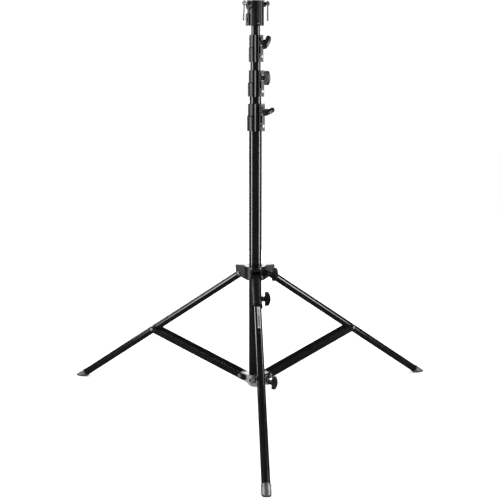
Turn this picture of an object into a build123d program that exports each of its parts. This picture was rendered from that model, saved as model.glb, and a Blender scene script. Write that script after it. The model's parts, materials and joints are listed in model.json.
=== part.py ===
from build123d import *
import math
import os

# Heavy-duty lighting stand: a fixed base tube on three folding braced legs, three telescopic
# risers that slide one inside the next, a clamp collar with a T-knob at the top of each outer
# tube, and a spigot socket as the head.  The front leg slides in a sleeve to level the stand.
#
# Units are millimetres.  Origin: the column axis at floor level.  +Z is up along the column and
# the front (levelling) leg points to -Y.  A leg, its brace and its pivots are drawn in the XZ
# plane, outward along +X, and are then turned about Z to the leg's direction.

# ------------------------------------------------------------------ leg directions, degrees
LEG_TURN = {"front": -90.0, "right": 30.0, "left": 150.0}

# ------------------------------------------------------------------ legs and fold linkage
LEG_SLOPE = 34.06            # degrees below horizontal at rest
LEG_AXIS_TOP = 584.0         # height where the leg axes meet the column axis
LEG_R = 15.0
LEG_WALL = 1.5
LEG_END = 1060.0             # end of the foot, measured along the leg from the column axis
LEG_BACK = 12.0              # tube behind its pivot
PIVOT_RADIUS = 63.0          # upper pivot, distance from the column axis
JOINT_RADIUS = 477.0         # where the brace meets the leg
BRACE_PIVOT_RADIUS = 58.0
BRACE_PIVOT_Z = 122.2
PIVOT_PIN_R = 5.0
JOINT_PIN_R = 4.0
PIN_WASHER = 1.6
HOLE_REACH = 30.0            # half length of the cutter for a hole right across
RUNNING = 0.05               # radial clearance of a turning or sliding fit
GAP = 0.4                    # clearance between neighbouring moving pieces

# ------------------------------------------------------------------ brace bars
BAR_INNER = 18.0             # inner face of a bar, from the leg's middle plane
BAR_THICK = 4.0
BAR_HEIGHT = 25.0
BAR_TAIL = 28.0              # bar behind its lower pivot
BAR_NOSE = 12.0              # bar beyond the joint with the leg

# ------------------------------------------------------------------ feet
FERRULE_R = 16.6
FERRULE_LENGTH = 50.0
PAD_THICK = 5.0

# ------------------------------------------------------------------ levelling sleeve (front leg)
SLEEVE_R = 18.5
SLEEVE_FROM = 99.0
SLEEVE_TO = 232.0
SLEEVE_STOP = 106.0          # closed end of the sleeve's bore
LEVEL_KNOB_ALONG = 191.0
LEVEL_KNOB_FACE = 22.5       # end of the sleeve's boss, from the leg's axis
LEVEL_KNOB_STEM = 5.0

# ------------------------------------------------------------------ column: tubes and collars
BASE_BOTTOM = 85.0
TUBE_WALL = 1.5
BASE_TUBE_R = 25.0
PLUG_HEIGHT = 30.0
PLUG_GAP = 0.3
COLLAR_STEP = 45.0           # the upper, slimmer part of a riser collar
STEP_CONE = 3.0
BUSH_BELOW_STEP = 2.0
BUSH_BELOW_TOP = 2.0
BUSH_SLIT = 1.2
KNOB_BELOW_TOP = 28.0
BOLT_ABOVE_BOTTOM = 20.0
BOLT_R = 3.5
KNOB_AZIMUTH = 42.0          # riser knobs, from the front (-Y) towards +X
KNOB_BOSS_R = 12.5
BOSS_SLOT = 7.0              # width of the recess down one side of the boss face
RIB_TILTS = (-42.0, 46.0)    # the collar's ribs, from the knob's direction
RIB_PROUD = 4.2
RIB_FACET = 3.0              # rise of the slanted face on the left of a rib
RIB_HALF_WIDTH = 4.0
SPLIT_TILT = -62.0           # the groove where the casting is split
SPLIT_WIDTH = 4.0
SPLIT_DEPTH = 2.4
ROUND_BOLT = 11.0            # flat kept on the boss face above the bolt
ROUND_KNOB = 14.0            # flat kept on the boss face below the knob
BORE_GAP = 0.6               # between a riser and the lip of its collar
BOLT_FLATS = 13.0
BOLT_HEAD = 4.5
PLUG_WALL = 6.0
PLUG_FLANGE = 6.0
TIP_GAP = 0.3                # between a screw's tip and the tube that it clamps
# one entry for each outer tube: tube radius, radius of the riser inside it, collar bottom and
# top, outer radii of the collar's upper and lower parts, distance of the boss face, wing tilt and
# length of the knob's stem
COLLARS = {
    3: (25.0, 22.5, 1102.0, 1205.0, 28.5, 32.0, 40.0, 70.0, 22.0),
    2: (22.5, 20.0, 1232.0, 1330.5, 25.7, 29.1, 36.0, 0.0, 14.5),
    1: (20.0, 17.5, 1361.5, 1461.7, 24.1, 25.7, 31.5, 33.0, 17.0),
}

# ------------------------------------------------------------------ head
HEAD_BOTTOM = 1495.0
HEAD_TOP = 1591.0
HEAD_R = 31.0
SOCKET_R = 14.3              # for a 28.6 mm (1-1/8 inch) spigot
SOCKET_BOTTOM = 1523.0
SOCKET_FLOOR = 3.0
T_SCREW_Z = 1577.0
# azimuth, distance of the boss face, boss radius, distance of the tommy bar, lean of the bar
T_SCREWS = {"left": (-57.0, 34.5, 15.0, 51.0, 6.0), "right": (95.0, 39.0, 9.5, 46.5, 0.0)}
T_SHAFT_R = 4.5
T_END_R = 6.5
T_BAR_R = 3.0
T_BAR_LENGTH = 73.0
T_BAR_ABOVE = 10.2           # top of the bar above its screw
HEAD_LIP = 5.0
LUG_AZIMUTH = -68.0
LUG_HEIGHT = 46.0
HEAD_RIB_PROUD = 2.6
# the head's ribs: azimuth, height of the lower end, height of the upper end
HEAD_RIBS = (
    (-15.0, HEAD_BOTTOM, 1542.0), (12.0, 1516.0, HEAD_TOP - HEAD_LIP),
    (40.0, HEAD_BOTTOM, HEAD_TOP - HEAD_LIP),
    (64.0, HEAD_BOTTOM, HEAD_TOP - HEAD_LIP),
) + tuple((azimuth_at, HEAD_BOTTOM, HEAD_TOP - HEAD_LIP) for azimuth_at in range(124, 245, 24))
# azimuth, face distance, height and shank radius of the head's fixing bolt and small screw
HEAD_BOLTS = ((LUG_AZIMUTH, 35.5, 1518.0, 4.0), (18.0, HEAD_R, 1503.5, 2.4))

# ------------------------------------------------------------------ leg collars
UPPER_TOP = 575.0
UPPER_BOTTOM = 521.0
UPPER_RING_R = 42.0
LOWER_TOP = 131.5
LOWER_BOTTOM = 89.0
LOWER_RING_R = 31.5
LEG_KNOB_AZIMUTH = 60.0      # both leg collars' knobs, between the front and right legs
UPPER_KNOB_Z = 548.0
LOWER_KNOB_Z = 107.0
LEG_KNOB_FACE = 60.0         # end of the boss that carries the knob
LEG_KNOB_TILT = 8.0
CHEEK_INNER = 15.4
CHEEK_OUTER = 20.0

# ------------------------------------------------------------------ T-knob
KNOB_SPAN = 53.0
KNOB_DEPTH = 22.5
KNOB_TIP = 13.5              # depth of the wing at its two ends
KNOB_THICK = 14.0
KNOB_STEM = 14.5
KNOB_HUB_R = 8.5
KNOB_FLARE = 2.5
SCREW_R = 5.0
SCREW_IN_KNOB = 6.0
WASHER_R = 11.0
WASHER_THICK = 1.6

CUTTING_BOX = (800.0, 200.0, 200.0)
MIDDLE = (Align.CENTER, Align.CENTER, Align.MIN)
slope = math.radians(LEG_SLOPE)
LEG_OUT = Vector(math.cos(slope), 0, -math.sin(slope))
LEG_UP = Vector(math.sin(slope), 0, math.cos(slope))
LATERAL = Vector(0, 1, 0)


def on_leg(along):
    """The point of the leg axis at a distance along it from the column axis."""
    return Vector(0, 0, LEG_AXIS_TOP) + LEG_OUT * along


PIVOT_ALONG = PIVOT_RADIUS / math.cos(slope)
JOINT_ALONG = JOINT_RADIUS / math.cos(slope)
PIVOT = on_leg(PIVOT_ALONG)
JOINT = on_leg(JOINT_ALONG)
BRACE_PIVOT = Vector(BRACE_PIVOT_RADIUS, 0, BRACE_PIVOT_Z)


# ------------------------------------------------------------------ shared shapes
def ring(outer_r, inner_r, low, high):
    """An upright tube on the column axis."""
    height = high - low
    shape = Cylinder(outer_r, height, align=MIDDLE) - Cylinder(inner_r, height, align=MIDDLE)
    return Pos(0, 0, low) * shape


def disc(radius, low, high):
    return Pos(0, 0, low) * Cylinder(radius, high - low, align=MIDDLE)


def rod(start, end, radius):
    """A cylinder from one point to another."""
    run = end - start
    return Plane(origin=start, z_dir=run) * Cylinder(radius, run.length, align=MIDDLE)


def leg_rod(start, end, radius):
    return rod(on_leg(start), on_leg(end), radius)


def cross_rod(centre, low, high, radius):
    """A cylinder across the leg's middle plane, from one lateral distance to another."""
    return rod(centre + LATERAL * low, centre + LATERAL * high, radius)


def side_plate(outline, low, high):
    """A flat plate in the leg's plane between two lateral distances."""
    face = Plane.XZ.offset(-low) * make_face(outline)
    return extrude(face, amount=high - low, dir=(0, 1, 0))


def tilted(degrees):
    """The direction in the YZ plane that leans from the vertical by an angle."""
    lean = math.radians(degrees)
    return Vector(0, math.sin(lean), math.cos(lean))


def azimuth(shape, degrees_from_front):
    """Turn a shape drawn outward along +X to an azimuth from -Y towards +X."""
    return Rot(0, 0, degrees_from_front - 90.0) * shape


def turned(shape, leg):
    return Rot(0, 0, LEG_TURN[leg]) * shape


def domed_head(centre, out, radius, height):
    """A low domed rivet or bolt head that sits on a face."""
    head = Plane(origin=centre, z_dir=out) * Cylinder(radius, height, align=MIDDLE)
    rims = head.edges().filter_by(GeomType.CIRCLE)
    top_rim = rims.sort_by(lambda rim: (rim.center() - centre).dot(out))[-1]
    return fillet(top_rim, height * 0.6)


def hex_head(centre, out, across_flats, height):
    corner = across_flats / math.sqrt(3)
    head = extrude(Plane(origin=centre, z_dir=out) * RegularPolygon(corner, 6), amount=height)
    cap = head.faces().sort_by(lambda face: (face.center() - centre).dot(out))[-1]
    return chamfer(cap.edges(), 0.8)


# ------------------------------------------------------------------ T-knob and its screw
def t_knob(face_at, out, wing, stem=KNOB_STEM):
    """A D-shaped T-knob: its stem starts above the washer on face_at, its wings run along wing."""
    half = KNOB_SPAN / 2
    flat = Line((-half, 0), (half, 0))
    right_end = Line((half, 0), (half, KNOB_TIP))
    back = ThreePointArc((half, KNOB_TIP), (0, KNOB_DEPTH), (-half, KNOB_TIP))
    left_end = Line((-half, KNOB_TIP), (-half, 0))
    outline = make_face(flat + right_end + back + left_end)
    wings = extrude(Plane.XZ * outline, amount=KNOB_THICK / 2, both=True)
    wings = fillet(wings.edges(), 3.0)
    hub_height = stem + KNOB_FLARE
    hub = Pos(0, 0, -stem) * Cone(KNOB_HUB_R, KNOB_HUB_R + KNOB_FLARE, hub_height, align=MIDDLE)
    knob = Pos(0, 0, stem) * (wings + hub)
    knob = knob - Cylinder(SCREW_R, stem + SCREW_IN_KNOB, align=MIDDLE)
    return Plane(origin=face_at + out * (GAP + WASHER_THICK), z_dir=out, x_dir=wing) * knob


def knob_screw(tip, face_at, out, stem=KNOB_STEM):
    """The stud of a knob, from its clamping tip into the knob, and the washer under the knob."""
    washer_at = face_at + out * GAP
    washer_top = washer_at + out * WASHER_THICK
    stud = rod(tip, washer_top + out * (stem + SCREW_IN_KNOB), SCREW_R)
    return stud + rod(washer_at, washer_top, WASHER_R)


# ------------------------------------------------------------------ column
def riser_collar(size):
    """A cast clamp collar: stepped barrel with a split, a boss for knob and bolt, and two ribs."""
    tube_r, riser_r, low, high, upper_r, lower_r, boss_face, *_ = COLLARS[size]
    height = high - low
    step = high - COLLAR_STEP
    knob_z = high - KNOB_BELOW_TOP
    bolt_z = low + BOLT_ABOVE_BOTTOM
    from_axis = (Align.MIN, Align.CENTER, Align.MIN)

    collar = disc(lower_r, low, step - STEP_CONE) + disc(upper_r, step - STEP_CONE, high)
    collar += Pos(0, 0, step - STEP_CONE) * Cone(lower_r, upper_r, STEP_CONE, align=MIDDLE)
    collar = chamfer(collar.edges().group_by(Axis.Z)[-1], 1.0)
    split = Pos(upper_r - SPLIT_DEPTH, 0, low) * Box(20, SPLIT_WIDTH, height, align=from_axis)
    collar -= Rot(0, 0, SPLIT_TILT) * split

    boss = Pos(0, 0, low) * Box(boss_face, 2 * KNOB_BOSS_R, height, align=from_axis)
    boss = fillet(boss.edges().filter_by(Axis.Z).group_by(Axis.X)[-1], 3.0)
    slot_low = bolt_z + ROUND_BOLT
    slot = Box(boss_face, BOSS_SLOT, knob_z - ROUND_KNOB - slot_low, align=from_axis)
    boss -= Pos(lower_r + 1, 1.5 + (BOSS_SLOT - 2 * KNOB_BOSS_R) / 2, slot_low) * slot
    boss += rod(Vector(0, 0, knob_z), Vector(boss_face, 0, knob_z), KNOB_BOSS_R)
    collar += boss
    crest = lower_r + RIB_PROUD
    section = Polyline(
        (0, -RIB_HALF_WIDTH), (crest - RIB_FACET, -RIB_HALF_WIDTH), (crest, 0),
        (crest, RIB_HALF_WIDTH), (0, RIB_HALF_WIDTH), close=True,
    )
    rib = Pos(0, 0, low) * extrude(make_face(section), amount=height)
    for tilt in RIB_TILTS:
        collar += Rot(0, 0, tilt) * rib

    collar -= disc(tube_r, low, high - BUSH_BELOW_TOP)
    collar -= disc(riser_r + BORE_GAP, step, high)
    beyond = boss_face + 5
    collar -= rod(Vector(riser_r + 1, 0, knob_z), Vector(beyond, 0, knob_z), SCREW_R + RUNNING)
    collar -= rod(Vector(tube_r - 1, 0, bolt_z), Vector(beyond, 0, bolt_z), BOLT_R)
    return azimuth(collar, KNOB_AZIMUTH)


def riser_bush(size):
    """The split nylon bush that guides the riser in the collar."""
    tube_r, riser_r, low, high, *_ = COLLARS[size]
    tube_top = high - COLLAR_STEP - BUSH_BELOW_STEP
    bush = ring(tube_r, riser_r + RUNNING, tube_top, high - BUSH_BELOW_TOP)
    slit = Pos(-tube_r, 0, tube_top) * Box(8, BUSH_SLIT, COLLAR_STEP + 2, align=MIDDLE)
    return azimuth(bush - slit, KNOB_AZIMUTH)


def collar_bolt(size):
    """The hexagon bolt that closes the lower half of the collar on its tube."""
    tube_r, _, low, _, _, _, boss_face, *_ = COLLARS[size]
    bolt_z = low + BOLT_ABOVE_BOTTOM
    face = Vector(boss_face, 0, bolt_z)
    bolt = rod(Vector(tube_r + TIP_GAP, 0, bolt_z), face, BOLT_R)
    bolt += hex_head(face, Vector(1, 0, 0), BOLT_FLATS, BOLT_HEAD)
    return azimuth(bolt, KNOB_AZIMUTH)


def collar_knob(size):
    """The knob and the screw of a riser collar."""
    tube_r, _, _, high, _, _, boss_face, tilt, stem = COLLARS[size]
    out = Vector(1, 0, 0)
    face = Vector(boss_face, 0, high - KNOB_BELOW_TOP)
    knob = t_knob(face, out, tilted(tilt), stem)
    screw = knob_screw(Vector(tube_r + TIP_GAP, 0, face.Z), face, out, stem)
    return azimuth(knob, KNOB_AZIMUTH), azimuth(screw, KNOB_AZIMUTH)


def end_plug(bore_r, tube_r, low):
    """A glide plug: a flange that runs in the outer tube and a spigot in its own tube."""
    top = low + PLUG_HEIGHT
    flange = disc(bore_r, low, low + PLUG_FLANGE)
    flange = chamfer(flange.edges().group_by(Axis.Z)[0], 1.0)
    spigot = disc(tube_r - TUBE_WALL, low + PLUG_FLANGE, top)
    return flange + spigot - disc(tube_r - PLUG_WALL, low, top)


# ------------------------------------------------------------------ head
def head():
    """The cast head: a ribbed barrel with a lip, a spigot socket, and bosses for its screws."""
    riser_r = COLLARS[1][1]
    from_axis = (Align.MIN, Align.CENTER, Align.MIN)
    shape = disc(HEAD_R, HEAD_BOTTOM, HEAD_TOP - HEAD_LIP)
    lip = disc(HEAD_R + 3.5, HEAD_TOP - HEAD_LIP, HEAD_TOP)
    shape += chamfer(lip.edges().group_by(Axis.Z)[-1], 1.5)
    for spin, low, high in HEAD_RIBS:
        rib = Box(HEAD_R + HEAD_RIB_PROUD, 4.4, high - low, align=from_axis)
        rib = fillet(rib.edges().filter_by(Axis.Z).group_by(Axis.X)[-1], 1.0)
        shape += azimuth(Pos(0, 0, low) * rib, spin)
    for spin, face, boss_r, *_ in T_SCREWS.values():
        boss_z = min(T_SCREW_Z, HEAD_TOP - 7 - boss_r)
        shape += azimuth(rod(Vector(0, 0, boss_z), Vector(face, 0, boss_z), boss_r), spin)
    lug = Pos(0, 0, HEAD_BOTTOM) * Box(35.5, 30, LUG_HEIGHT, align=from_axis)
    lug = fillet(lug.edges().filter_by(Axis.Z).group_by(Axis.X)[-1], 5.0)
    lug = chamfer(lug.edges().group_by(Axis.Z)[-1], 4.0)
    shape += azimuth(lug, LUG_AZIMUTH)
    shape -= disc(SOCKET_R, SOCKET_BOTTOM, HEAD_TOP)
    shape -= Pos(0, 0, HEAD_TOP - 1.5) * Cone(SOCKET_R, SOCKET_R + 1.5, 1.5, align=MIDDLE)
    shape -= disc(riser_r, HEAD_BOTTOM, SOCKET_BOTTOM - SOCKET_FLOOR)
    for spin, face, *_ in T_SCREWS.values():
        screw_axis = Vector(0, 0, T_SCREW_Z), Vector(face + 5, 0, T_SCREW_Z)
        shape -= azimuth(rod(*screw_axis, T_SHAFT_R + RUNNING), spin)
    for spin, face, bolt_z, bolt_r in HEAD_BOLTS:
        bolt_axis = Vector(riser_r - 1, 0, bolt_z), Vector(face + 5, 0, bolt_z)
        shape -= azimuth(rod(*bolt_axis, bolt_r), spin)
    return shape


def head_bolts():
    """The bolt that holds the head on the top riser, and the small screw beside it."""
    bolts = []
    for spin, face, bolt_z, bolt_r in HEAD_BOLTS:
        seat = Vector(face, 0, bolt_z)
        shank = rod(Vector(COLLARS[1][1] + TIP_GAP, 0, bolt_z), seat, bolt_r)
        bolts.append(azimuth(shank + domed_head(seat, Vector(1, 0, 0), bolt_r * 1.8, bolt_r), spin))
    return Compound(children=bolts)


def t_screw(side):
    """A head screw whose cross-drilled end carries a sliding tommy bar."""
    spin, _, _, bar_at, lean = T_SCREWS[side]
    shaft = rod(Vector(SOCKET_R + 0.1, 0, T_SCREW_Z), Vector(bar_at - 5, 0, T_SCREW_Z), T_SHAFT_R)
    end = rod(Vector(bar_at - T_END_R, 0, T_SCREW_Z), Vector(bar_at + T_END_R, 0, T_SCREW_Z), T_END_R)
    end = chamfer(end.edges().filter_by(GeomType.CIRCLE), 1.2)
    centre = Vector(bar_at, 0, T_SCREW_Z)
    along = tilted(lean)
    hole = rod(centre - along * 10, centre + along * 10, T_BAR_R + RUNNING)
    return azimuth(shaft + end - hole, spin)


def t_bar(side):
    """A tommy bar with a stop at each end, hanging down through its screw."""
    spin, _, _, bar_at, lean = T_SCREWS[side]
    along = tilted(lean)
    top = Vector(bar_at, 0, T_SCREW_Z) + along * T_BAR_ABOVE
    low = top - along * T_BAR_LENGTH
    bar = rod(low, top, T_BAR_R)
    for stop in (rod(low, low + along * 3, T_BAR_R + 1), rod(top - along * 3, top, T_BAR_R + 1)):
        bar += chamfer(stop.edges().filter_by(GeomType.CIRCLE), 0.6)
    return azimuth(bar, spin)


# ------------------------------------------------------------------ leg collars
def upper_collar():
    """The sliding collar: a ring with three channel-shaped arms that hold the legs' pivots."""
    shape = disc(UPPER_RING_R, UPPER_BOTTOM, UPPER_TOP)
    shape = chamfer(shape.edges().group_by(Axis.Z)[0], 2.0)
    cheek = Polyline(
        (30, UPPER_BOTTOM), (40, UPPER_BOTTOM), (48, UPPER_BOTTOM + 5), (PIVOT.X, PIVOT.Z - 12),
        (PIVOT.X + 11, PIVOT.Z - 4.8), (PIVOT.X + 16, UPPER_TOP - 9), (PIVOT.X + 16, UPPER_TOP),
        (30, UPPER_TOP), close=True,
    )
    for leg in LEG_TURN:
        arm = side_plate(cheek, -CHEEK_OUTER, CHEEK_OUTER)
        arm += cross_rod(PIVOT, -CHEEK_OUTER, CHEEK_OUTER, 12)
        arm = fillet(arm.faces().sort_by(Axis.Z)[-1].edges().filter_by(Axis.X), 2.5)
        shape += turned(arm, leg)
    boss = rod(Vector(30, 0, UPPER_KNOB_Z), Vector(LEG_KNOB_FACE, 0, UPPER_KNOB_Z), KNOB_BOSS_R)
    shape += azimuth(boss, LEG_KNOB_AZIMUTH)
    inside, roof, below = PIVOT.X - 20, UPPER_TOP - 11, UPPER_BOTTOM - 50
    room = Polyline((inside, below), (inside, roof), (inside + 60, roof), (inside + 60, below), close=True)
    inner_wall = disc(inside, below - 10, UPPER_TOP + 10)
    for leg in LEG_TURN:
        channel = side_plate(room, -CHEEK_INNER, CHEEK_INNER) - inner_wall
        shape -= turned(channel, leg)
        hole_r = PIVOT_PIN_R + (RUNNING if leg == "front" else 0)
        shape -= turned(cross_rod(PIVOT, -HOLE_REACH, HOLE_REACH, hole_r), leg)
    shape -= disc(BASE_TUBE_R + RUNNING, UPPER_BOTTOM - 1, UPPER_TOP + 1)
    return shape - leg_knob_hole(UPPER_KNOB_Z)


def leg_knob_hole(height):
    screw_axis = Vector(20, 0, height), Vector(LEG_KNOB_FACE + 5, 0, height)
    return azimuth(rod(*screw_axis, SCREW_R + RUNNING), LEG_KNOB_AZIMUTH)


def lower_collar():
    """The collar at the foot of the column: a ring with three lugs for the braces."""
    shape = disc(LOWER_RING_R, LOWER_BOTTOM, LOWER_TOP)
    shape = chamfer(shape.edges().group_by(Axis.Z)[0], 4.0, 3.0)
    half_width = BAR_INNER - GAP
    lug_outline = Polyline(
        (26, LOWER_BOTTOM + 5), (BRACE_PIVOT.X + 4, BRACE_PIVOT.Z - 10),
        (BRACE_PIVOT.X, LOWER_TOP), (26, LOWER_TOP), close=True,
    )
    for leg in LEG_TURN:
        lug = side_plate(lug_outline, -half_width, half_width)
        lug += cross_rod(BRACE_PIVOT, -half_width, half_width, 10)
        shape += turned(lug, leg)
        hole_r = JOINT_PIN_R + (RUNNING if leg == "front" else 0)
        shape -= turned(cross_rod(BRACE_PIVOT, -HOLE_REACH, HOLE_REACH, hole_r), leg)
    boss = rod(Vector(28, 0, LOWER_KNOB_Z), Vector(LEG_KNOB_FACE, 0, LOWER_KNOB_Z), KNOB_BOSS_R)
    shape += azimuth(boss, LEG_KNOB_AZIMUTH)
    shape -= disc(BASE_TUBE_R + RUNNING, LOWER_BOTTOM - 1, LOWER_TOP + 1)
    return shape - leg_knob_hole(LOWER_KNOB_Z)


def leg_collar_knob(height):
    """The knob and the screw that lock a leg collar on the base tube."""
    out = Vector(1, 0, 0)
    face = Vector(LEG_KNOB_FACE, 0, height)
    knob = t_knob(face, out, tilted(LEG_KNOB_TILT))
    screw = knob_screw(Vector(BASE_TUBE_R + TIP_GAP, 0, height), face, out)
    return azimuth(knob, LEG_KNOB_AZIMUTH), azimuth(screw, LEG_KNOB_AZIMUTH)


def through_pin(centre, half_grip, pin_r, head_r, head_height):
    """A pivot bolt with a washer and a domed head at each end."""
    pin = cross_rod(centre, -half_grip, half_grip, pin_r)
    for side in (-1, 1):
        seat = centre + LATERAL * (side * half_grip)
        out = LATERAL * side
        on_washer = seat + out * PIN_WASHER
        pin += rod(seat, on_washer, head_r + 1.5) + domed_head(on_washer, out, head_r, head_height)
    return pin


def upper_pin():
    return through_pin(PIVOT, CHEEK_OUTER + 0.1, PIVOT_PIN_R, 6.5, 4.6)


def lower_pin():
    return through_pin(BRACE_PIVOT, BAR_INNER + BAR_THICK + GAP, JOINT_PIN_R, 7.0, 3.6)


# ------------------------------------------------------------------ legs
def above_floor(shape, height):
    """Cut a leg piece flat at a height above the floor."""
    below = Box(*CUTTING_BOX, align=(Align.CENTER, Align.CENTER, Align.MAX))
    return shape - Pos(LEG_END, 0, height) * below


def leg_tube(start):
    tube = leg_rod(start, LEG_END - 4, LEG_R) - leg_rod(start - 1, LEG_END, LEG_R - LEG_WALL)
    tube -= cross_rod(JOINT, -HOLE_REACH, HOLE_REACH, JOINT_PIN_R)
    return above_floor(tube, PAD_THICK + 2)


def folding_leg_tube():
    return leg_tube(PIVOT_ALONG - LEG_BACK) - cross_rod(PIVOT, -HOLE_REACH, HOLE_REACH, PIVOT_PIN_R + RUNNING)


def joint_pin():
    """The pin through the leg tube that the two brace bars turn on."""
    return cross_rod(JOINT, -(BAR_INNER - GAP), BAR_INNER - GAP, JOINT_PIN_R)


def ferrule():
    """The metal cap over the end of a leg, cut flat above its pad."""
    start = LEG_END - FERRULE_LENGTH
    cap = leg_rod(start, LEG_END, FERRULE_R) + leg_rod(start, start + 3, FERRULE_R + 0.6)
    bore = above_floor(leg_rod(start - 1, LEG_END - 4, LEG_R), PAD_THICK + 2)
    return above_floor(cap - bore, PAD_THICK)


def foot_pad():
    """The rubber pad under a foot: a flat slice of the same slanted round bar."""
    bar = leg_rod(LEG_END - 2 * FERRULE_LENGTH, LEG_END - 0.5, FERRULE_R - 0.3)
    return above_floor(bar, 0) - Pos(LEG_END, 0, PAD_THICK) * Box(*CUTTING_BOX, align=MIDDLE)


# ------------------------------------------------------------------ levelling sleeve
def leveling_sleeve():
    """A cast sleeve that hangs on the front pivot; the front leg tube slides in it."""
    shape = leg_rod(SLEEVE_FROM, SLEEVE_TO, SLEEVE_R)
    shape += leg_rod(SLEEVE_TO - 7, SLEEVE_TO, SLEEVE_R + 1.5)
    shape += leg_rod(SLEEVE_FROM, SLEEVE_FROM + 6, SLEEVE_R + 1.0)
    eye_half = CHEEK_INNER - GAP
    shape += cross_rod(PIVOT, -eye_half, eye_half, 14.0)
    neck_length = SLEEVE_FROM + 2 - PIVOT_ALONG
    neck = Box(2 * eye_half, 26, neck_length, align=MIDDLE)
    shape += Plane(origin=PIVOT, x_dir=LATERAL, z_dir=LEG_OUT) * neck
    knob_at = on_leg(LEVEL_KNOB_ALONG)
    shape += rod(knob_at, knob_at + LATERAL * LEVEL_KNOB_FACE, 10.0)
    along_sleeve = Plane(origin=on_leg(SLEEVE_FROM + 3), x_dir=LATERAL, z_dir=LEG_OUT)
    for side in (-1, 1):
        web = Box(5, 3.6, SLEEVE_TO - SLEEVE_FROM - 6, align=MIDDLE)
        shape += along_sleeve * (Pos(0, side * SLEEVE_R, 0) * web)
    shape -= leg_rod(SLEEVE_STOP - 0.3, SLEEVE_TO + 1, LEG_R + RUNNING)
    shape -= cross_rod(PIVOT, -HOLE_REACH, HOLE_REACH, PIVOT_PIN_R + RUNNING)
    shape -= rod(knob_at, knob_at + LATERAL * 40, SCREW_R + RUNNING)
    return shape


def leveling_knob():
    """The knob that locks the front leg in its sleeve, on a short stem, and its screw."""
    knob_at = on_leg(LEVEL_KNOB_ALONG)
    face = knob_at + LATERAL * LEVEL_KNOB_FACE
    knob = t_knob(face, LATERAL, Vector(0, 0, 1), LEVEL_KNOB_STEM)
    screw = knob_screw(knob_at + LATERAL * (LEG_R + TIP_GAP), face, LATERAL, LEVEL_KNOB_STEM)
    return knob, screw


# ------------------------------------------------------------------ braces
def brace_bars():
    """The two flat bars of a brace, one each side of the leg, with rounded ends."""
    run = JOINT - BRACE_PIVOT
    reach = run.length
    length = BAR_TAIL + reach + BAR_NOSE
    outline = Pos(reach / 2 + (BAR_NOSE - BAR_TAIL) / 2, 0, 0) * SlotOverall(length, BAR_HEIGHT)
    outline -= Circle(JOINT_PIN_R + RUNNING)
    outline -= Pos(reach, 0, 0) * Circle(JOINT_PIN_R)
    bars = []
    for start in (BAR_INNER, -BAR_INNER - BAR_THICK):
        face = Plane(origin=BRACE_PIVOT + LATERAL * start, x_dir=run, z_dir=(0, -1, 0)) * outline
        bars.append(extrude(face, amount=BAR_THICK, dir=(0, 1, 0)))
    return Compound(children=bars)


def brace_rivets():
    """The rivets that join the bars to the leg's joint pin, one on each bar."""
    rivets = []
    for side in (-1, 1):
        out = LATERAL * side
        inner = JOINT + out * BAR_INNER
        seat = JOINT + out * (BAR_INNER + BAR_THICK)
        rivets.append(rod(inner, seat, JOINT_PIN_R) + domed_head(seat, out, 7.0, 3.2))
    return Compound(children=rivets)


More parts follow.
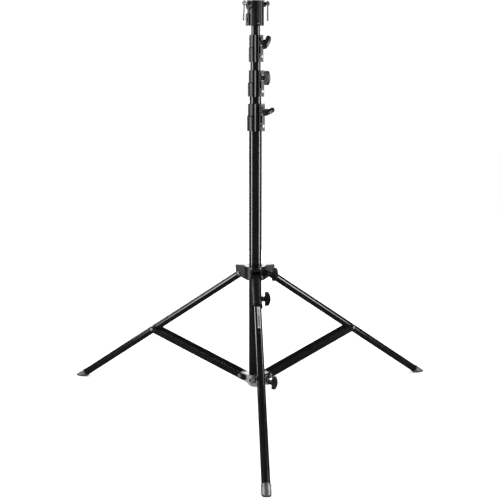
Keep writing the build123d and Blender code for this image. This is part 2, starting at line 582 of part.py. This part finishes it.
# ------------------------------------------------------------------ assembly
def main():
    os.makedirs("parts", exist_ok=True)
    nodes = {}

    nodes["lower_collar"] = lower_collar()
    nodes["lower_collar_pins"] = Compound(children=[turned(lower_pin(), leg) for leg in ("left", "right")])
    nodes["lower_knob"], nodes["lower_knob_screw"] = leg_collar_knob(LOWER_KNOB_Z)
    nodes["upper_collar"] = upper_collar()
    nodes["upper_collar_pins"] = Compound(children=[turned(upper_pin(), leg) for leg in ("left", "right")])
    nodes["upper_knob"], nodes["upper_knob_screw"] = leg_collar_knob(UPPER_KNOB_Z)

    # the fixed tube and the three risers, largest first; each starts on the plug below it
    tube_name = "base_tube"
    bottom = BASE_BOTTOM
    outer_bore = BASE_TUBE_R
    for size in COLLARS:
        tube_r, _, _, high, *_ = COLLARS[size]
        tube_top = high - COLLAR_STEP - BUSH_BELOW_STEP
        plug_r = outer_bore if size == 3 else outer_bore - RUNNING
        nodes[tube_name] = ring(tube_r, tube_r - TUBE_WALL, bottom + PLUG_FLANGE, tube_top)
        nodes[tube_name.replace("tube", "end_plug")] = end_plug(plug_r, tube_r, bottom)
        nodes[f"collar_{size}"] = riser_collar(size)
        nodes[f"collar_{size}_bush"] = riser_bush(size)
        nodes[f"collar_{size}_bolt"] = collar_bolt(size)
        nodes[f"collar_{size}_knob"], nodes[f"collar_{size}_knob_screw"] = collar_knob(size)
        tube_name = f"riser_{size}_tube"
        outer_bore = tube_r - TUBE_WALL
        bottom += PLUG_HEIGHT + PLUG_GAP
    riser_r = COLLARS[1][1]
    riser_top = SOCKET_BOTTOM - SOCKET_FLOOR
    nodes["riser_1_tube"] = ring(riser_r, riser_r - TUBE_WALL, bottom + PLUG_FLANGE, riser_top)
    nodes["riser_1_end_plug"] = end_plug(outer_bore - RUNNING, riser_r, bottom)

    nodes["head"] = head()
    nodes["head_bolts"] = head_bolts()
    for side in T_SCREWS:
        nodes[f"{side}_head_screw"] = t_screw(side)
        nodes[f"{side}_tommy_bar"] = t_bar(side)

    for leg in LEG_TURN:
        tube = leg_tube(SLEEVE_STOP) if leg == "front" else folding_leg_tube()
        nodes[f"{leg}_leg_tube"] = turned(tube, leg)
        nodes[f"{leg}_joint_pin"] = turned(joint_pin(), leg)
        nodes[f"{leg}_ferrule"] = turned(ferrule(), leg)
        nodes[f"{leg}_foot_pad"] = turned(foot_pad(), leg)
        nodes[f"{leg}_brace_bars"] = turned(brace_bars(), leg)
        nodes[f"{leg}_brace_rivets"] = turned(brace_rivets(), leg)
    nodes["front_pivot_pin"] = turned(upper_pin(), "front")
    nodes["front_brace_pin"] = turned(lower_pin(), "front")
    nodes["leveling_sleeve"] = turned(leveling_sleeve(), "front")
    knob, screw = leveling_knob()
    nodes["leveling_knob"] = turned(knob, "front")
    nodes["leveling_knob_screw"] = turned(screw, "front")

    for name, shape in nodes.items():
        export_step(shape, f"parts/{name}.step")
    print(len(nodes), "nodes")


main()
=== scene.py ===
import json
import math

import bpy
from mathutils import Matrix, Vector


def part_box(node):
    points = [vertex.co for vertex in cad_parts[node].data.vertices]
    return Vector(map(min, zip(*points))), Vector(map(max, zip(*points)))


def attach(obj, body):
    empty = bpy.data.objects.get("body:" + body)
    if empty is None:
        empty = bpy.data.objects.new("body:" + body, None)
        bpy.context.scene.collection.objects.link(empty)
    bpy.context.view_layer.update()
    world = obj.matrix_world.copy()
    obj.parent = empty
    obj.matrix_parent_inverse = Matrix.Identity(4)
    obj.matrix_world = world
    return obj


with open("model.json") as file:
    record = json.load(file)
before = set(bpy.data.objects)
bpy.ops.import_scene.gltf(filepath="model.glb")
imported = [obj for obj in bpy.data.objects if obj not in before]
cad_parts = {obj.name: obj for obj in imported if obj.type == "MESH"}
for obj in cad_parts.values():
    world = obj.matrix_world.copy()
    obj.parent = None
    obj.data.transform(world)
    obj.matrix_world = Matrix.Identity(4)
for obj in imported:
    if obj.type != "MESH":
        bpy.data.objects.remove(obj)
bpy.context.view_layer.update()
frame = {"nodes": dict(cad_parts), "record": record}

# Places and sizes are in metres, in the CAD model's frame: +Z up, the column axis at x = y = 0, the
# floor at z = 0, the front (levelling) leg towards -Y.

nodes = frame["nodes"]
scene = bpy.context.scene


# ------------------------------------------------------------------ camera
CAMERA_AT = Vector((-0.1675, -3.9646, 1.377))
CAMERA_HEADING = math.radians(2.12)      # from +Y towards +X
CAMERA_PITCH = math.radians(10.57)       # downwards
CAMERA_LENS = 74.16                      # on a 36 mm sensor

camera_data = bpy.data.cameras.new("camera")
camera_data.sensor_width = 36.0
camera_data.lens = CAMERA_LENS
camera_data.clip_end = 50.0
camera = bpy.data.objects.new("camera", camera_data)
camera.location = CAMERA_AT
camera.rotation_euler = (math.pi / 2 - CAMERA_PITCH, 0.0, -CAMERA_HEADING)
scene.collection.objects.link(camera)
scene.camera = camera


# ------------------------------------------------------------------ light and floor
def area_light(name, place, target, size_x, size_y, power):
    data = bpy.data.lights.new(name, "AREA")
    data.shape = "RECTANGLE"
    data.size, data.size_y = size_x, size_y
    data.energy = power
    light = bpy.data.objects.new(name, data)
    light.location = place
    aim = Vector(target) - Vector(place)
    light.rotation_euler = aim.to_track_quat("-Z", "Y").to_euler()
    scene.collection.objects.link(light)
    return light


def make_studio():
    """White all round for the eye and for soft light, dim in the gloss, so that black stays black."""
    column = (0.0, 0.0, 1.2)
    legs = (0.0, -0.1, 0.4)
    area_light("left_softbox", (-2.6, -0.83, 1.3), column, 0.75, 2.6, 66.0)
    area_light("right_softbox", (2.5, -0.6, 1.35), column, 0.75, 2.7, 66.0)
    area_light("left_high_box", (-2.9, 1.9, 1.7), legs, 0.6, 0.9, 13.0)
    area_light("right_high_box", (3.0, 1.35, 2.6), legs, 0.6, 0.9, 7.0)
    back_panel = area_light("back_panel", (0.0, 3.4, 0.9), (0.0, 0.0, 0.9), 2.2, 1.8, 60.0)
    back_panel.visible_camera = False
    world = bpy.data.worlds.new("studio")
    world.use_nodes = True
    tree = world.node_tree
    white = tree.nodes["Background"]
    white.inputs["Color"].default_value = (1.0, 1.0, 1.0, 1.0)
    white.inputs["Strength"].default_value = 1.05
    dim = tree.nodes.new("ShaderNodeBackground")
    dim.inputs["Color"].default_value = (1.0, 1.0, 1.0, 1.0)
    dim.inputs["Strength"].default_value = 0.02
    ray = tree.nodes.new("ShaderNodeLightPath")
    mix = tree.nodes.new("ShaderNodeMixShader")
    tree.links.new(ray.outputs["Is Glossy Ray"], mix.inputs["Fac"])
    tree.links.new(white.outputs["Background"], mix.inputs[1])
    tree.links.new(dim.outputs["Background"], mix.inputs[2])
    tree.links.new(mix.outputs["Shader"], tree.nodes["World Output"].inputs["Surface"])
    scene.world = world
    scene.view_settings.view_transform = "Standard"


FLOOR_GAP = 0.0006       # keeps the floor clear of the pads' undersides


def make_floor():
    mesh = bpy.data.meshes.new("floor")
    half = 12.0
    corners = [(-half, -half, 0), (half, -half, 0), (half, half, 0), (-half, half, 0)]
    mesh.from_pydata(corners, [], [(0, 1, 2, 3)])
    floor = bpy.data.objects.new("floor", mesh)
    floor.location = (0, 0, -FLOOR_GAP)
    scene.collection.objects.link(floor)
    material = bpy.data.materials.new("pale_floor")
    material.use_nodes = True
    tree = material.node_tree
    pale = tree.nodes["Principled BSDF"]
    pale.inputs["Base Color"].default_value = (0.95, 0.95, 0.95, 1.0)
    pale.inputs["Roughness"].default_value = 1.0
    pale.inputs["Specular IOR Level"].default_value = 0.0
    dim = tree.nodes.new("ShaderNodeEmission")
    dim.inputs["Color"].default_value = (1.0, 1.0, 1.0, 1.0)
    dim.inputs["Strength"].default_value = 0.04
    ray = tree.nodes.new("ShaderNodeLightPath")
    mix = tree.nodes.new("ShaderNodeMixShader")
    tree.links.new(ray.outputs["Is Glossy Ray"], mix.inputs["Fac"])
    tree.links.new(pale.outputs["BSDF"], mix.inputs[1])
    tree.links.new(dim.outputs["Emission"], mix.inputs[2])
    tree.links.new(mix.outputs["Shader"], tree.nodes["Material Output"].inputs["Surface"])
    mesh.materials.append(material)


# ------------------------------------------------------------------ materials
class Recipe:
    """A node material under construction: short helpers to add and link nodes."""

    def __init__(self, name):
        self.material = bpy.data.materials.new(name)
        self.material.use_nodes = True
        self.tree = self.material.node_tree
        self.shader = self.tree.nodes["Principled BSDF"]

    def node(self, kind, **inputs):
        made = self.tree.nodes.new(kind)
        for key, value in inputs.items():
            made.inputs[key.replace("_", " ")].default_value = value
        return made

    def link(self, source, target):
        self.tree.links.new(source, target)

    def set(self, **values):
        for key, value in values.items():
            self.shader.inputs[key.replace("_", " ")].default_value = value

    def noise(self, scale, detail=3.0, stretch=(1.0, 1.0, 1.0), roughness=0.5):
        where = self.tree.nodes.new("ShaderNodeTexCoord")
        mapping = self.tree.nodes.new("ShaderNodeMapping")
        mapping.inputs["Scale"].default_value = stretch
        self.link(where.outputs["Object"], mapping.inputs["Vector"])
        made = self.tree.nodes.new("ShaderNodeTexNoise")
        made.inputs["Scale"].default_value = scale
        made.inputs["Detail"].default_value = detail
        made.inputs["Roughness"].default_value = roughness
        self.link(mapping.outputs["Vector"], made.inputs["Vector"])
        return made.outputs["Fac"]

    def remap(self, value, low, high, to_low, to_high):
        made = self.tree.nodes.new("ShaderNodeMapRange")
        for key, number in (("From Min", low), ("From Max", high), ("To Min", to_low), ("To Max", to_high)):
            made.inputs[key].default_value = number
        self.link(value, made.inputs["Value"])
        return made.outputs["Result"]

    def ramp(self, value, *stops):
        made = self.tree.nodes.new("ShaderNodeValToRGB")
        elements = made.color_ramp.elements
        while len(elements) < len(stops):
            elements.new(0.5)
        for element, (place, colour) in zip(elements, stops):
            element.position = place
            element.color = (*colour, 1.0)
        self.link(value, made.inputs["Fac"])
        return made.outputs["Color"]

    def mix(self, amount, first, second):
        made = self.tree.nodes.new("ShaderNodeMix")
        made.data_type = "RGBA"
        self.link(amount, made.inputs["Factor"])
        self.link(first, made.inputs["A"])
        self.link(second, made.inputs["B"])
        return made.outputs["Result"]

    def bump(self, height, distance, strength=1.0, over=None):
        made = self.tree.nodes.new("ShaderNodeBump")
        made.inputs["Distance"].default_value = distance
        made.inputs["Strength"].default_value = strength
        self.link(height, made.inputs["Height"])
        if over is not None:
            self.link(over, made.inputs["Normal"])
        return made.outputs["Normal"]

    def finish(self, colour=None, roughness=None, normal=None):
        if colour is not None:
            self.link(colour, self.shader.inputs["Base Color"])
        if roughness is not None:
            self.link(roughness, self.shader.inputs["Roughness"])
        if normal is not None:
            self.link(normal, self.shader.inputs["Normal"])
        return self.material


def powder_coat(name, colour, roughness, grain, coat):
    """Black paint: fine orange peel, faint cloudiness, and scuffs that dull the gloss."""
    recipe = Recipe(name)
    dark = tuple(0.75 * c for c in colour)
    light = tuple(1.35 * c for c in colour)
    tone = recipe.ramp(recipe.noise(9.0, 4.0), (0.3, dark), (0.7, light))
    scuffs = recipe.noise(70.0, 6.0, (1.0, 1.0, 0.12), 0.7)
    rough = recipe.remap(scuffs, 0.35, 0.75, roughness * 0.85, roughness * 1.3)
    recipe.set(Coat_Weight=coat, Coat_Roughness=0.1)
    return recipe.finish(tone, rough, recipe.bump(recipe.noise(grain, 2.0), 0.0001, 0.35))


def bare_casting(name):
    """Tumbled bare aluminium: a light satin grey with pits and darker patches."""
    recipe = Recipe(name)
    tone = recipe.ramp(recipe.noise(35.0, 6.0), (0.3, (0.24, 0.24, 0.24)), (0.75, (0.54, 0.54, 0.52)))
    rough = recipe.remap(recipe.noise(180.0, 5.0), 0.3, 0.7, 0.32, 0.55)
    recipe.set(Metallic=0.55)
    return recipe.finish(tone, rough, recipe.bump(recipe.noise(420.0, 4.0), 0.00025, 0.5))


def moulded_plastic(name):
    recipe = Recipe(name)
    clouds = recipe.noise(40.0, 3.0)
    tone = recipe.ramp(clouds, (0.3, (0.004, 0.004, 0.0044)), (0.7, (0.009, 0.009, 0.0095)))
    fine = recipe.noise(1800.0, 2.0)
    rough = recipe.remap(recipe.noise(150.0, 4.0), 0.3, 0.7, 0.26, 0.42)
    recipe.set(Specular_IOR_Level=0.5)
    return recipe.finish(tone, rough, recipe.bump(fine, 0.0001, 0.5))


def zinc_plate(name):
    recipe = Recipe(name)
    cloud = recipe.noise(60.0, 5.0)
    tone = recipe.ramp(cloud, (0.25, (0.16, 0.16, 0.17)), (0.75, (0.32, 0.32, 0.31)))
    rough = recipe.remap(recipe.noise(220.0, 6.0, (1.0, 1.0, 0.2), 0.7), 0.3, 0.7, 0.28, 0.5)
    recipe.set(Metallic=0.8)
    return recipe.finish(tone, rough, recipe.bump(recipe.noise(900.0, 3.0), 0.00008, 0.4))


def label_foil(name, low, high):
    """Satin silver foil, or the dark ink on it, with fine creases and rubbed patches."""
    recipe = Recipe(name)
    tone = recipe.ramp(recipe.noise(120.0, 5.0), (0.3, low), (0.7, high))
    rough = recipe.remap(recipe.noise(300.0, 4.0), 0.3, 0.7, 0.3, 0.5)
    recipe.set(Metallic=0.3)
    return recipe.finish(tone, rough, recipe.bump(recipe.noise(500.0, 2.0), 0.00006, 0.5))


def rubber(name):
    recipe = Recipe(name)
    tone = recipe.ramp(recipe.noise(90.0, 5.0), (0.3, (0.012, 0.012, 0.012)), (0.75, (0.03, 0.029, 0.028)))
    rough = recipe.remap(recipe.noise(200.0, 4.0), 0.3, 0.7, 0.6, 0.85)
    recipe.set(Specular_IOR_Level=0.35)
    return recipe.finish(tone, rough, recipe.bump(recipe.noise(700.0, 4.0), 0.0003, 0.6))


def make_materials():
    return {
        "black_tube": powder_coat("black_tube_paint", (0.0045, 0.0045, 0.0048), 0.15, 1400.0, 0.3),
        "black_casting": powder_coat("black_casting_paint", (0.0050, 0.0050, 0.0053), 0.33, 600.0, 0.0),
        "bare_casting": bare_casting("bare_cast_aluminium"),
        "knob_plastic": moulded_plastic("knob_moulding"),
        "zinc_steel": zinc_plate("zinc_plated_steel"),
        "rubber": rubber("pad_rubber"),
        "nylon": moulded_plastic("nylon_moulding"),
    }


def paint_nodes(materials):
    slots = {part["node"]: part["material_slot"] for part in frame["record"]["subparts"]}
    for name, node in nodes.items():
        node.data.materials.clear()
        node.data.materials.append(materials[slots[name]])


# ------------------------------------------------------------------ added pieces
LEG_SLOPE = math.radians(34.06)
LEG_AXIS_TOP = 0.584
LEG_R = 0.015
LEG_OUT = Vector((0.0, -math.cos(LEG_SLOPE), -math.sin(LEG_SLOPE)))
LEG_UP = Vector((0.0, -math.sin(LEG_SLOPE), math.cos(LEG_SLOPE)))
LEG_RIGHT = Vector((1.0, 0.0, 0.0))
LABEL_FROM, LABEL_TO = 0.245, 0.350      # along the front leg, from the column axis
LABEL_CENTRE = math.radians(11.0)        # round the leg, from its upper side to the right
LABEL_HALF = math.radians(21.0)
LABEL_LIFT = 0.0002
LABEL_ROWS, LABEL_COLUMNS = 44, 13
BUTTON_ALONG = 0.372


def on_front_leg(along, round_leg, radius):
    """A point on a cylinder about the front leg's axis; round_leg is 0 on its upper side."""
    across = LEG_UP * math.cos(round_leg) + LEG_RIGHT * math.sin(round_leg)
    return Vector((0.0, 0.0, LEG_AXIS_TOP)) + LEG_OUT * along + across * radius


def add_piece(name, vertices, faces, body, slot, *materials):
    mesh = bpy.data.meshes.new(name)
    mesh.from_pydata(vertices, [], faces)
    mesh.polygons.foreach_set("use_smooth", [True] * len(mesh.polygons))
    for material in materials:
        mesh.materials.append(material)
    piece = bpy.data.objects.new(name, mesh)
    scene.collection.objects.link(piece)
    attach(piece, body)
    return piece


def is_inked(row, column):
    """The long bar low on the label, and the short thin one above it."""
    in_bar = 17 <= row <= 40 and 4 <= column <= 8
    in_mark = 4 <= row <= 12 and column in (5, 6)
    return in_bar or in_mark


def make_label(foil, ink):
    """A foil label wrapped on the front leg, with a plain dark bar where a real one is printed."""
    rows, columns = LABEL_ROWS, LABEL_COLUMNS
    vertices = []
    for row in range(rows + 1):
        along = LABEL_FROM + (LABEL_TO - LABEL_FROM) * row / rows
        for column in range(columns + 1):
            turn = LABEL_CENTRE + LABEL_HALF * (2 * column / columns - 1)
            vertices.append(on_front_leg(along, turn, LEG_R + LABEL_LIFT))
    faces = []
    inked = []
    for row in range(rows):
        for column in range(columns):
            first = row * (columns + 1) + column
            faces.append((first, first + 1, first + columns + 2, first + columns + 1))
            inked.append(int(is_inked(row, column)))
    label = add_piece("front_leg_label", vertices, faces, "front_leg", "zinc_steel", foil, ink)
    label.data.polygons.foreach_set("material_index", inked)
    sheet = label.modifiers.new("thickness", "SOLIDIFY")
    sheet.thickness = LABEL_LIFT * 0.8
    sheet.offset = 1.0


def lathe(name, profile, place, axis, body, slot, material, segments=64):
    """A turned piece: the profile's (radius, height) points swept about an axis through place."""
    turn = axis.to_track_quat("Z", "Y").to_matrix().to_4x4()
    to_place = Matrix.Translation(place) @ turn
    closed = profile[0][0] > 0.0
    vertices = []
    for step in range(segments):
        angle = 2 * math.pi * step / segments
        for radius, height in profile:
            vertices.append(to_place @ Vector((radius * math.cos(angle), radius * math.sin(angle), height)))
    count = len(profile)
    faces = []
    for step in range(segments):
        here, there = step * count, (step + 1) % segments * count
        for low in range(count if closed else count - 1):
            high = (low + 1) % count
            faces.append((here + low, there + low, there + high, here + high))
    piece = add_piece(name, vertices, faces, body, slot, material)
    weld = piece.modifiers.new("weld", "WELD")
    weld.merge_threshold = 1e-6
    return piece


def make_head_rim(material):
    """A light grey band round the head's lip, in the bare casting finish."""
    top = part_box("head")[1][2]
    outer, inner = 0.0348, 0.0335
    low, high = top - 0.0046, top - 0.0016
    bevel = 0.0003
    profile = [
        (inner, low),
        (outer - bevel, low),
        (outer, low + bevel),
        (outer, high - bevel),
        (outer - bevel, high),
        (inner, high),
    ]
    lathe("head_rim", profile, Vector((0, 0, 0)), Vector((0, 0, 1)), "riser_1", "zinc_steel", material, 96)


def make_leg_button(material):
    """The small domed stop screw below the label."""
    radius, height = 0.0036, 0.0022
    steps = 7
    profile = [(0.0, height)]
    for step in range(1, steps):
        angle = math.pi / 2 * step / steps
        profile.append((radius * math.sin(angle), height * math.cos(angle)))
    profile += [(radius, 0.0), (radius, -0.0015)]
    place = on_front_leg(BUTTON_ALONG, LABEL_CENTRE, LEG_R)
    axis = on_front_leg(BUTTON_ALONG, LABEL_CENTRE, 2 * LEG_R) - place
    lathe("front_leg_button", profile, place, axis, "front_leg", "zinc_steel", material, 32)


make_studio()
make_floor()
finishes = make_materials()
paint_nodes(finishes)
silver = label_foil("label_silver", (0.26, 0.26, 0.27), (0.50, 0.50, 0.51))
ink = label_foil("label_ink", (0.02, 0.02, 0.022), (0.07, 0.07, 0.075))
make_label(silver, ink)
make_head_rim(finishes["bare_casting"])
make_leg_button(finishes["black_tube"])
